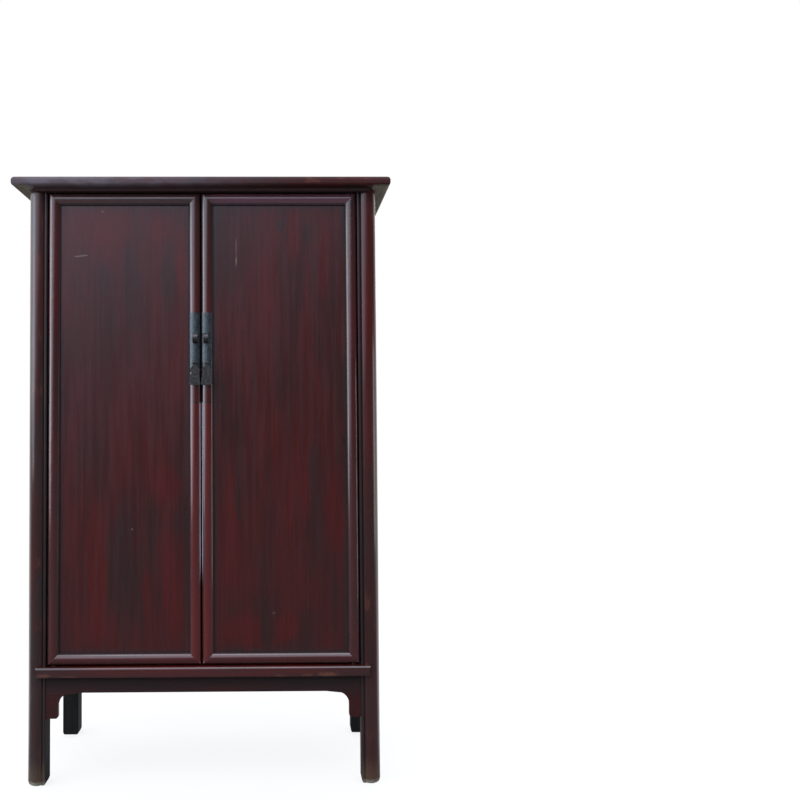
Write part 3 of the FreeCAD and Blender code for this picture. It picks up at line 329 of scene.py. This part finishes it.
class Tree:
    """Short ways to add and join shader nodes."""

    def __init__(self, tree):
        self.tree = tree
        tree.nodes.clear()

    def add(self, kind, inputs=(), **settings):
        made = self.tree.nodes.new(kind)
        for key, value in settings.items():
            setattr(made, key, value)
        for key, value in dict(inputs).items():
            self.feed(made.inputs[key], value)
        return made

    def feed(self, socket, value):
        if isinstance(value, bpy.types.NodeSocket):
            self.tree.links.new(value, socket)
        elif isinstance(value, tuple) and socket.type == "RGBA":
            socket.default_value = value + (1.0,)
        else:
            socket.default_value = value

    def math(self, operation, a, b=0.0, c=0.0):
        return self.add("ShaderNodeMath", {0: a, 1: b, 2: c}, operation=operation).outputs[0]

    def times(self, first, *others):
        for other in others:
            first = self.math("MULTIPLY", first, other)
        return first

    def greatest(self, first, *others):
        for other in others:
            first = self.math("MAXIMUM", first, other)
        return first

    def invert(self, share):
        return self.math("SUBTRACT", 1.0, share)

    def magnitude(self, value):
        return self.math("ABSOLUTE", value)

    def distance(self, value, middle):
        return self.magnitude(self.math("SUBTRACT", value, middle))

    def vector(self, operation, a, b=(0.0, 0.0, 0.0)):
        made = self.add("ShaderNodeVectorMath", {0: a, 1: b}, operation=operation)
        return made.outputs["Value" if operation in ("DOT_PRODUCT", "LENGTH") else "Vector"]

    def split(self, vector):
        return self.add("ShaderNodeSeparateXYZ", {0: vector}).outputs

    def step(self, value, low, high, out_low=0.0, out_high=1.0):
        made = self.add("ShaderNodeMapRange", {
            "Value": value, "From Min": low, "From Max": high, "To Min": out_low, "To Max": out_high,
        }, interpolation_type="SMOOTHSTEP")
        return made.outputs[0]

    def ramp(self, value, name):
        return self.step(value, *RAMPS[name])

    def noise(self, place, name, axis=Z):
        """A noise of the table, drawn out along one axis."""
        share, scale, detail, roughness, distortion = NOISES[name]
        squeeze = tuple(share if each == axis else 1.0 for each in (X, Y, Z))
        made = self.add("ShaderNodeTexNoise", {
            "Vector": self.vector("MULTIPLY", place, squeeze), "Scale": scale, "Detail": detail,
            "Roughness": roughness, "Distortion": distortion,
        })
        return made.outputs[0]

    def pattern(self, place, name, axis=Z):
        """A noise, sent through the ramp of the same name."""
        return self.ramp(self.noise(place, name, axis), name)

    def blend(self, kind, *values):
        inputs, output = MIX_SOCKETS[kind]
        made = self.add("ShaderNodeMix", data_type=kind, clamp_factor=True)
        for index, value in zip(inputs, values):
            self.feed(made.inputs[index], value)
        return made.outputs[output]

    def mix(self, share, a, b):
        return self.blend("RGBA", share, a, b)

    def mix_number(self, share, a, b):
        return self.blend("FLOAT", share, a, b)

    def bump(self, height, distance):
        return self.add("ShaderNodeBump", {"Height": height, "Distance": distance}).outputs[0]


def stripe(t, value, middle, half):
    """1 within half a width of the middle, fading to 0 further out."""
    return t.step(t.distance(value, middle), STRIPE_FADE * half, half)


def spots(t, place, rows):
    """Sum of soft ellipses in the XZ plane, each row x, z, half width, half height, strength."""
    total = 0.0
    for x, z, wide, high, strength in rows:
        shifted = t.vector("SUBTRACT", place, (x, 0.0, z))
        scaled = t.vector("MULTIPLY", shifted, (1.0 / wide, 0.0, 1.0 / high))
        inside = t.ramp(t.vector("LENGTH", scaled), "spot")
        total = t.math("MULTIPLY_ADD", inside, strength, total)
    return total


def shaken(t, place, noise, width):
    """The place moved to and fro by a noise, so that what is drawn there has an uneven outline."""
    return t.vector("ADD", place, t.math("MULTIPLY_ADD", noise, width, -width / 2))


def looking(t, where, direction):
    """A mask of the faces that look in a direction."""
    return t.ramp(t.vector("DOT_PRODUCT", where.outputs["Normal"], direction), "looking")


def facing(direction):
    return lambda t, where: looking(t, where, direction)


def outwards(t, where):
    """Above zero where a face looks away from the middle of the cabinet, below where it looks in."""
    side = t.math("SIGN", t.split(where.outputs["Object"])[X])
    return t.times(t.split(where.outputs["Normal"])[X], side)


def inner_face(t, where):
    """A mask of the faces of a front post that look into the cabinet."""
    return t.ramp(outwards(t, where), "inner face")


def hidden_faces(t, where):
    """A mask of the faces of a back post that look forward or into the cabinet."""
    outer = t.ramp(outwards(t, where), "outer face")
    rear = t.ramp(t.split(where.outputs["Normal"])[Y], "outer face")
    return t.invert(t.greatest(outer, rear))


def cap_underside(t, where):
    """A mask of the cap's underside where it stands out past the posts."""
    out = t.magnitude(t.split(where.outputs["Object"])[X])
    return t.times(t.ramp(out, "past the posts"), looking(t, where, DOWN))


def new_material(name):
    material = bpy.data.materials.new(name)
    material.use_nodes = True
    return material, Tree(material.node_tree)


def finish_material(t, colour, roughness, normal, specular, metallic=0.0, coat=0.0, tint=WHITE):
    surface = t.add("ShaderNodeBsdfPrincipled", {
        "Base Color": colour, "Roughness": roughness, "Normal": normal, "Metallic": metallic,
        "Specular IOR Level": specular, "Specular Tint": tint, "Coat Weight": coat,
        "Coat Roughness": COAT_ROUGHNESS, "Coat Normal": normal,
    })
    t.add("ShaderNodeOutputMaterial", {"Surface": surface.outputs[0]})


def grain_height(t, place, axis):
    fibres = t.noise(place, "relief fibres", axis)
    return t.math("MULTIPLY_ADD", t.noise(place, "relief waves", axis), WAVE_WEIGHT, fibres)


def bare_colour(t, place, axis, tones):
    """Aged bare wood: growth rings and fibres drawn out along the grain, and dirt."""
    dark, pale = tones
    wood = t.mix(t.pattern(place, "wood rings", axis), dark, pale)
    wood = t.mix(t.pattern(place, "wood fibres", axis), wood, dark)
    return t.mix(t.pattern(place, "wood dirt", axis), wood, dark)


def bare_wood(name, axis):
    material, t = new_material(name)
    place = t.add("ShaderNodeTexCoord").outputs["Object"]
    normal = t.bump(grain_height(t, place, axis), WOOD_RELIEF)
    colour = bare_colour(t, place, axis, BARE)
    finish_material(t, colour, t.pattern(place, "wood sheen"), normal, BARE_SPECULAR)
    return material


def metal(name, tones, accents=None):
    material, t = new_material(name)
    place = t.add("ShaderNodeTexCoord").outputs["Object"]
    stains = t.noise(place, "stains")
    colour = t.mix(t.ramp(stains, "stains"), *tones)
    if accents:
        colour = accents(t, place, colour)
    height = t.math("MULTIPLY_ADD", stains, STAIN_WEIGHT, t.noise(place, "brush marks"))
    finish_material(t, colour, t.ramp(stains, "metal sheen"), t.bump(height, METAL_RELIEF),
                    METAL_SPECULAR, METALLIC)
    return material


def pull_shade_and_glint(t, place, colour):
    """Painted shade for the hole at the left pull's pin and a painted highlight on its side."""
    colour = t.mix(spots(t, place, PULL_HOLE_SHADE), colour, NEAR_BLACK)
    return t.mix(spots(t, place, PULL_GLINTS), colour, GLINT)


def redness(t, place, axis, clouds, red_share, wear_rows):
    """Share of red: soft clouds, long bands and worn patches around a middle value."""
    share = t.math("MULTIPLY_ADD", t.math("SUBTRACT", clouds, NOISE_MIDDLE), CLOUD_WEIGHT, red_share)
    bands = t.math("SUBTRACT", t.noise(place, "bands", axis), NOISE_MIDDLE)
    share = t.math("MULTIPLY_ADD", bands, BAND_WEIGHT, share)
    if wear_rows:
        uneven = shaken(t, place, t.noise(place, "panel jitter", axis), PANEL_JITTER)
        share = t.math("MULTIPLY_ADD", spots(t, uneven, wear_rows), PANEL_WEAR_WEIGHT, share)
    return share


def lacquer_colour(t, place, axis, share):
    """Brown to crimson by the share of red, with grey haze and dark fibres and pores."""
    colour = t.mix(t.ramp(share, "red"), BROWN, RED)
    cold = t.times(t.pattern(place, "haze", axis), t.ramp(share, "hazy brown"), HAZE_SHARE)
    colour = t.mix(cold, colour, DARK_GREY)
    colour = t.mix(t.pattern(place, "lacquer fibres", axis), colour, NEAR_BLACK)
    return t.mix(t.pattern(place, "pores", axis), colour, NEAR_BLACK)


def lacquer(name, axis, kind, accents=None, bare=None, tones=BARE, wear_rows=()):
    """Worn red-brown lacquer. accents draws on the colour, painted shade and sheen included, and
    gives the share that is matt;
    bare masks the faces that were left as bare wood, and tones are the colours of that wood."""
    red_share, specular, gloss = SHEENS[kind]
    material, t = new_material("lacquer_" + name)
    where = t.add("ShaderNodeTexCoord")
    place = where.outputs["Object"]
    clouds = t.noise(place, "clouds", axis)
    colour = lacquer_colour(t, place, axis, redness(t, place, axis, clouds, red_share, wear_rows))
    matt = NOT_MATT
    if accents:
        colour, matt = accents(t, where, colour)
    if bare:
        mask = bare(t, where)
        colour = t.mix(mask, colour, bare_colour(t, place, axis, tones))
        matt = t.greatest(matt, mask)
    dull = t.math("MULTIPLY_ADD", clouds, CLOUD_DULLNESS, t.noise(place, "dullness", axis))
    rough = t.mix_number(matt, t.ramp(dull, "lacquer sheen"), MATT_ROUGHNESS)
    normal = t.bump(grain_height(t, place, axis), LACQUER_RELIEF)
    coat = t.times(t.invert(matt), gloss)
    finish_material(t, colour, rough, normal, specular, coat=coat, tint=GLOSS_TINT)
    return material


def quirk_shade_and_grime(t, place):
    """Painted shade and grime in the quirks of a post, and less of it on the beads."""
    places = t.split(place)
    shares = []
    for axis, slope, inner in POST_EDGES:
        upright = t.math("MULTIPLY_ADD", places[Z], slope, t.magnitude(places[axis]))
        from_inner = t.math("SUBTRACT", upright, inner)
        shares.append(stripe(t, from_inner, QUIRK_FROM_INNER, QUIRK_HALF))
        shares.append(t.times(stripe(t, from_inner, 0.0, BEAD_HALF), BEAD_SHADE))
    return t.greatest(*shares)


def foot_wear(t, place, colour):
    """Hazier wood down the leg, and pale worn wood at the foot, with ragged edges."""
    ragged = t.math("MULTIPLY_ADD", t.noise(place, "ragged foot"), FOOT_RAGGED, t.split(place)[Z])
    for name, tone in (("hazy leg", ASHEN), ("worn foot", BARE_DARK), ("bare foot", DUSTY_PALE)):
        colour = t.mix(t.ramp(ragged, name), colour, tone)
    return colour


def post_wear_and_shade(t, where, colour):
    """Grey smoky stretches, a redder top at the right, orange rubs, and duller sides and quirks
    darkened with painted shade.
    """
    place = where.outputs["Object"]
    across, _, height = t.split(place)
    smoky = t.times(t.pattern(place, "post smoke"), t.ramp(across, "smoky left"))
    colour = t.mix(smoky, colour, DARK_GREY)
    redder = t.times(t.ramp(across, "right half"), t.ramp(height, "post top"), POST_RED)
    colour = t.mix(redder, colour, RUBBED)
    colour = t.mix(t.pattern(place, "post rubs"), colour, ORANGE)
    # Painted shade on the side faces, which are also made matt
    sides = t.times(t.ramp(t.magnitude(outwards(t, where)), "post side"), POST_SIDE_SHADE)
    matt = t.greatest(quirk_shade_and_grime(t, place), sides)
    return foot_wear(t, place, t.mix(matt, colour, NEAR_BLACK)), matt


def panel_marks_and_shade(t, where, colour):
    """Darker grey along the frame, painted shade and grime where the frame stands over the panel, and
    the scratches and nicks of the photograph.
    """
    place = where.outputs["Object"]
    across, _, height = t.split(place)
    band = t.greatest(
        t.ramp(t.magnitude(across), "panel outer edge"),
        t.ramp(t.distance(across, MEETING_X), "panel inner edge"),
        t.ramp(height, "panel top"),
        t.ramp(height, "panel bottom"),
    )
    # Painted shade and grime in a band along the frame
    colour = t.mix(t.times(band, PANEL_EDGE_SHADE), colour, DARK_GREY)
    colour = t.mix(spots(t, place, PANEL_NICKS), colour, NEAR_BLACK)
    return t.mix(spots(t, place, PANEL_SCRATCHES), colour, DUSTY_PALE), NOT_MATT


def behind_door_face(t, place):
    _, depth, height = t.split(place)
    return t.math("SUBTRACT", t.math("MULTIPLY_ADD", height, -FRONT_SLOPE, depth), DOOR_FACE_Y)


def edge_shade_and_grime(t, place):
    """Painted shade and grime along both edges of a door's frame, where its roll ends."""
    return t.ramp(behind_door_face(t, place), "roll end")


# Painted shade and grime along the frame's edges, which also makes them matt
def frame_shade_and_grime(t, where, colour):
    darkening = edge_shade_and_grime(t, where.outputs["Object"])
    return t.mix(darkening, colour, NEAR_BLACK), darkening


def rail_sheen_and_shade(t, where, colour):
    """The top rails of the doors get a painted sheen, ashen and rosier on the right one, and the
    bottom ones are clear.
    """
    across, _, height = t.split(where.outputs["Object"])
    top = t.ramp(height, "top rails")
    colour = t.mix(t.times(top, TOP_RAIL_SHEEN), colour, ASHEN)
    rosy = t.times(top, t.ramp(across, "right top rail"))
    return frame_shade_and_grime(t, where, t.mix(rosy, colour, ROSE_SHEEN))


def lock_stile_wear_and_light(t, where, colour):
    """Rubbed to a clear red below the pulls, and a painted grey reflection for some way down where
    the doors meet.
    """
    place = where.outputs["Object"]
    across, _, height = t.split(place)
    below = t.ramp(height, "below pulls")
    colour = t.mix(t.times(below, t.pattern(place, "stile rubs")), colour, RUBBED)
    seam = t.times(t.ramp(t.distance(across, MEETING_X), "seam width"),
                   t.ramp(behind_door_face(t, place), "seam depth"),
                   below, t.ramp(height, "seam end"))
    # The edge's painted shade and grime are left out along the seam, where a painted reflection goes
    darkening = t.times(edge_shade_and_grime(t, place), t.invert(seam))
    line = t.times(stripe(t, height, PULLS_BOTTOM_Z, PULLS_LINE_HALF), PULLS_LINE_SHARE)
    colour = t.mix(t.greatest(darkening, line), colour, NEAR_BLACK)
    return t.mix(t.times(seam, SEAM_REFLECTION_SHARE), colour, SEAM_REFLECTION), darkening


def cap_wear_and_sheen(t, where, colour):
    """A painted sheen of ashen grey at the left, blotched with dark and orange along the edge, and
    calmer on top.
    """
    place = where.outputs["Object"]
    edge = t.invert(t.times(looking(t, where, UP), CAP_TOP_CALM))
    blotches = t.noise(t.vector("MULTIPLY", place, CAP_SQUEEZE), "cap blotches")
    colour = t.mix(t.times(t.ramp(blotches, "dark blotches"), edge), colour, NEAR_BLACK)
    left = t.ramp(t.split(place)[X], "cap left")
    left_sheen = t.times(left, t.ramp(blotches, "sheen blotches"), edge)
    colour = t.mix(left_sheen, colour, CAP_SHEEN_GREY)
    return t.mix(t.times(t.ramp(blotches, "orange blotches"), edge), colour, ORANGE), CAP_MATT


def lip_dust(t, where, colour):
    return t.mix(LIP_DUST, colour, ASHEN), LIP_MATT


def ledge_wear(t, where, colour):
    """Rubbed to orange along the lower edge, and darker towards the ends."""
    place = where.outputs["Object"]
    colour = t.mix(t.ramp(t.magnitude(t.split(place)[X]), "ledge ends"), colour, NEAR_BLACK)
    uneven = shaken(t, place, t.noise(place, "ledge jitter"), LEDGE_JITTER)
    return t.mix(spots(t, uneven, LEDGE_RUBS), colour, ORANGE), NOT_MATT


def apron_shade(t, where, colour):
    """Darker all over, as the apron's own paint, and most just under the ledge, as painted shadow of
    the ledge.
    """
    darkening = t.ramp(t.split(where.outputs["Object"])[Z], "shade under ledge")
    return t.mix(darkening, colour, NEAR_BLACK), darkening


def make_materials():
    """Every material, by kind and grain axis."""
    back = facing(BACKWARDS)
    made = {
        ("plates", Z): metal("grey_metal", IRON),
        ("pulls", Z): metal("grey_metal_pull", RUST, pull_shade_and_glint),
        # The posts' inner and hidden faces are bare wood painted near black as shade
        ("post_front", Z): lacquer("post_front", Z, "post_front", post_wear_and_shade, inner_face, WOOD_IN_SHADE),
        ("post_back", Z): lacquer("post_back", Z, "post_back", post_wear_and_shade, hidden_faces, WOOD_IN_SHADE),
        ("door_panel", Z): lacquer("door_panel", Z, "door_panel", panel_marks_and_shade, back,
                                   wear_rows=PANEL_WEAR),
        ("door", Z): lacquer("door_stile", Z, "door", frame_shade_and_grime, back),
        ("door", X): lacquer("door_rail", X, "door", rail_sheen_and_shade, back),
        ("lock_stile", Z): lacquer("lock_stile", Z, "door", lock_stile_wear_and_light, back),
        ("side_left", Z): lacquer("side_left", Z, "side", bare=facing(RIGHTWARDS)),
        ("side_right", Z): lacquer("side_right", Z, "side", bare=facing(LEFTWARDS)),
        ("ledge", X): lacquer("ledge", X, "ledge", ledge_wear),
        ("lip", X): lacquer("lip", X, "lip", lip_dust),
    }
    for axis, word in enumerate("xyz"):
        made["bare", axis] = bare_wood("bare_wood_" + word, axis)
    for axis, word in enumerate("xy"):
        made["frame", axis] = lacquer(word, axis, "frame")
        made["cap", axis] = lacquer("cap_" + word, axis, "cap", cap_wear_and_sheen, cap_underside, DUSTY)
        made["apron", axis] = lacquer("apron_" + word, axis, "apron", apron_shade)
    return made


def kind_and_axis(name, slot):
    if slot == "grey_metal":
        return ("pulls" if has(name, DARK_METAL) else "plates"), Z
    if slot == "bare_wood":
        return "bare", grain_axis(name)
    kind = next((kind for word, kind in KINDS.items() if word in name), "frame")
    return kind, grain_axis(name)


def smooth_group():
    """A modifier that joins split corners, smooths the curves and keeps the creases."""
    group = bpy.data.node_groups.new("smooth", "GeometryNodeTree")
    for direction in ("INPUT", "OUTPUT"):
        group.interface.new_socket("Geometry", in_out=direction, socket_type="NodeSocketGeometry")
    t = Tree(group)
    start = t.add("NodeGroupInput")
    joined = t.add("GeometryNodeMergeByDistance", {"Geometry": start.outputs[0], "Distance": WELD})
    angle = t.add("GeometryNodeInputMeshEdgeAngle")
    crease = t.add("FunctionNodeCompare", {0: angle.outputs[0], 1: CREASE_ANGLE},
                   operation="GREATER_THAN")
    smooth = t.add("GeometryNodeSetShadeSmooth", {"Geometry": joined.outputs[0]}, domain="FACE")
    sharp = t.add("GeometryNodeSetShadeSmooth", {
        "Geometry": smooth.outputs[0], "Selection": crease.outputs[0], "Shade Smooth": False,
    }, domain="EDGE")
    t.add("NodeGroupOutput", {0: sharp.outputs[0]})
    return group


def soften(piece, group, width):
    smooth = piece.modifiers.new("smooth", "NODES")
    smooth.node_group = group
    flat = piece.modifiers.new("flat", "DECIMATE")
    flat.decimate_type = "DISSOLVE"
    flat.angle_limit = FLAT_ANGLE
    edge = piece.modifiers.new("edge", "BEVEL")
    edge.width = width
    edge.segments = EDGE_STEPS
    edge.limit_method = "ANGLE"
    edge.angle_limit = CREASE_ANGLE
    edge.harden_normals = True


def dress():
    materials = make_materials()
    group = smooth_group()
    for name, piece in NODES.items():
        slots = piece.data.materials
        slot = slots[0].name
        material = materials[kind_and_axis(name, slot)]
        for index in range(len(slots)):
            slots[index] = material
        soften(piece, group, METAL_EDGE if slot == "grey_metal" else WOOD_EDGE)


def seen_as_background(t, behind):
    """1 for what the camera or glass sees, and for what gloss sees behind the object."""
    path = t.add("ShaderNodeLightPath").outputs
    gloss = t.times(path["Is Glossy Ray"], behind)
    return t.greatest(path["Is Camera Ray"], path["Is Transmission Ray"], gloss)


def make_world():
    """White where it is seen as background, and a soft studio everywhere else."""
    world = bpy.data.worlds.new("studio")
    bpy.context.scene.world = world
    world.use_nodes = True
    t = Tree(world.node_tree)
    across, depth, height = t.split(t.add("ShaderNodeTexCoord").outputs["Generated"])
    sky = t.ramp(t.math("MULTIPLY_ADD", across, -SKY_TILT, height), "sky")
    seen = seen_as_background(t, t.ramp(depth, "sky behind"))
    light = t.add("ShaderNodeBackground", {
        "Color": t.mix(seen, SKY_COOL, WHITE), "Strength": t.mix_number(seen, sky, FULL),
    })
    t.add("ShaderNodeOutputWorld", {"Surface": light.outputs[0]})


def lamp(name, place, target, size, radiance, colour):
    data = bpy.data.lights.new(name, "AREA")
    data.shape = "RECTANGLE"
    data.size, data.size_y = size
    data.energy = radiance * math.pi * size[0] * size[1]
    data.color = colour
    made = bpy.data.objects.new(name, data)
    made.location = place
    made.rotation_euler = (Vector(target) - Vector(place)).to_track_quat("-Z", "Y").to_euler()
    bpy.context.scene.collection.objects.link(made)


def floor_material():
    """White where it is seen as background, and it keeps the object's shadow nearby."""
    material, t = new_material("floor")
    place = t.add("ShaderNodeTexCoord").outputs["Object"]
    seen = seen_as_background(t, t.ramp(t.split(place)[Y], "floor behind"))
    tint = t.mix(t.noise(place, "floor mottle"), FLOOR_COLOUR, FLOOR_TINT)
    matt = t.add("ShaderNodeBsdfDiffuse", {"Color": tint})
    glow = t.add("ShaderNodeEmission", {"Strength": t.times(seen, FLOOR_GLOW)})
    near = t.add("ShaderNodeAddShader", {0: matt.outputs[0], 1: glow.outputs[0]})
    white = t.add("ShaderNodeEmission", {"Strength": FULL})
    away = t.ramp(t.vector("LENGTH", place), "far floor")
    both = t.add("ShaderNodeMixShader", {
        0: t.times(away, seen), 1: near.outputs[0], 2: white.outputs[0],
    })
    t.add("ShaderNodeOutputMaterial", {"Surface": both.outputs[0]})
    return material


def make_floor():
    mesh = bpy.data.meshes.new("floor")
    half = FLOOR_SIZE / 2
    corners = [(-half, -half, 0.0), (half, -half, 0.0), (half, half, 0.0), (-half, half, 0.0)]
    mesh.from_pydata(corners, [], [(0, 1, 2, 3)])
    mesh.materials.append(floor_material())
    floor = bpy.data.objects.new("floor", mesh)
    bpy.context.scene.collection.objects.link(floor)


def make_camera():
    data = bpy.data.cameras.new("camera")
    data.sensor_width = SENSOR_MM
    data.lens = FOCAL_LENGTH_PX / IMAGE_PX * SENSOR_MM
    data.shift_x = (IMAGE_PX / 2 - PRINCIPAL_X_PX) / IMAGE_PX
    data.shift_y = (PRINCIPAL_Y_PX - IMAGE_PX / 2) / IMAGE_PX
    camera = bpy.data.objects.new("camera", data)
    camera.location = CAMERA_PLACE
    turned = Matrix.Rotation(CAMERA_YAW, 3, "Z") @ Matrix.Rotation(LEVEL + CAMERA_PITCH, 3, "X")
    camera.rotation_euler = (turned @ Matrix.Rotation(CAMERA_ROLL, 3, "Z")).to_euler()
    bpy.context.scene.collection.objects.link(camera)
    bpy.context.scene.camera = camera


dress()
make_world()
for lamp_name, lamp_row in LAMPS.items():
    lamp(lamp_name, *lamp_row)
make_floor()
make_camera()
bpy.context.scene.view_settings.view_transform = "Standard"
